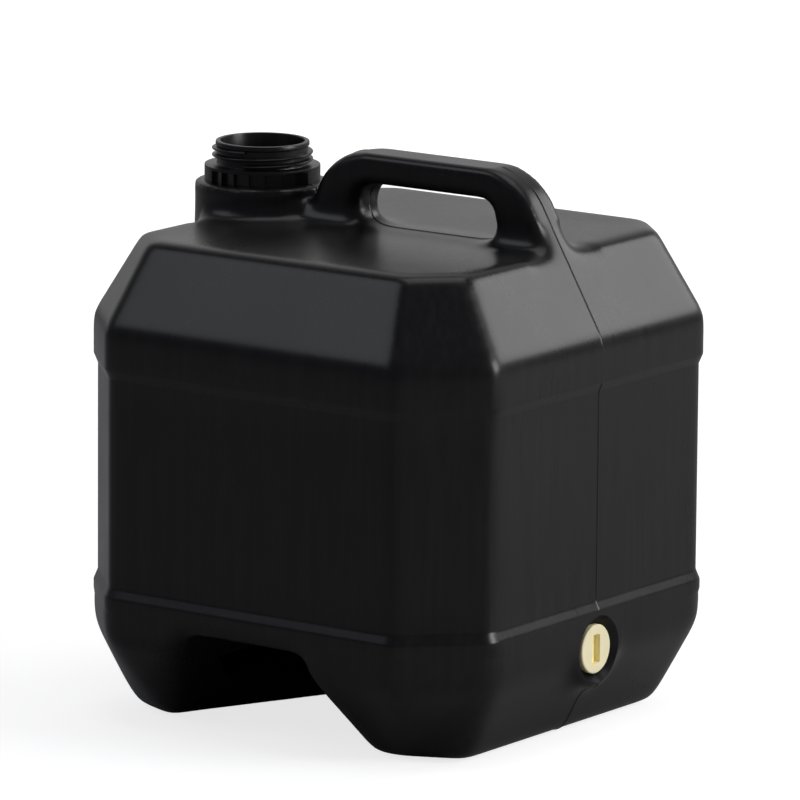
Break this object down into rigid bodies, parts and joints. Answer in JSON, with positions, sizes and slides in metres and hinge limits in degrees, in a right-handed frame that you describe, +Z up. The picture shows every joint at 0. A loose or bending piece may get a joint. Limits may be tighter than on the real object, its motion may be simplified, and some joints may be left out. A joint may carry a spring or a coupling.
{
  "type": "jerry can with drain bung",
  "caption": "Black blow-moulded jerry can with moulded grip, ratchet screw neck, stacking recess, and a cream screw bung with its washer in a low drain socket.",
  "frame": {"origin": "on the floor, under the middle of the body", "axes": "+Z up; +X along the grip from the neck to the drain bung's face; Y across, with the mould parting plane at Y = 0"},
  "size_m": [0.28, 0.288, 0.3184],
  "materials": {
    "container": "satin moulded polyethylene",
    "bung": "satin natural polypropylene",
    "seal": "matte rubber"
  },
  "bodies": {
    "container": {"container_shell": "container"},
    "seal": {"bung_seal": "seal"},
    "bung": {"drain_bung": "bung"}
  },
  "joints": [
    {"name": "bung_draw", "type": "slide", "parent": "container", "child": "seal", "axis": [1, 0, 0], "range_m": [0, 0.0108]},
    {"name": "bung_turn", "type": "hinge", "parent": "seal", "child": "bung", "pos_m": [0.135, 0, 0.051], "axis": [1, 0, 0], "range_deg": [0, 1620]}
  ],
  "couplings": [
    {"joint": "bung_turn", "follows": "bung_draw", "rad_per_m": 2618}
  ]
}
